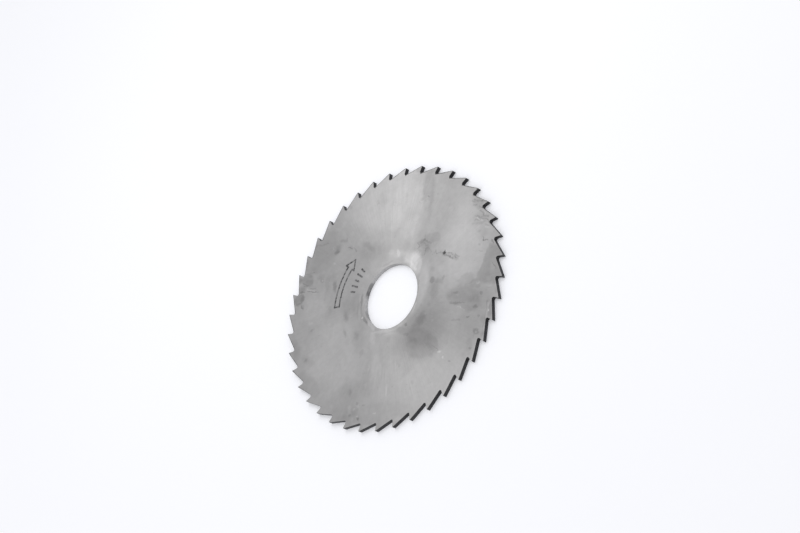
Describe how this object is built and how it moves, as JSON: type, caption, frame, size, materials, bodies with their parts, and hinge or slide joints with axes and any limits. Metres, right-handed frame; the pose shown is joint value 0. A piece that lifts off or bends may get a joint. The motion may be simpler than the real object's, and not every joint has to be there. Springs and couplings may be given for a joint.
{
  "type": "circular saw blade",
  "caption": "Thin metal-slitting circular saw blade: a toothed ground steel disc with a plain round bore, a hub land and hollow-ground sides.",
  "frame": {"origin": "on the bore's axis, halfway through the blade's thickness", "axes": "+Z along the bore out of the upper side, from which the teeth cut clockwise; a tooth's cutting edge lies on +X and another on +Y"},
  "size_m": [0.11, 0.11, 0.002],
  "materials": {
    "ground_steel": "ground high-speed steel with a radial grain, blackened in the gullets and on the tooth backs"
  },
  "bodies": {
    "root": {"saw_blade": "ground_steel"}
  },
  "joints": []
}
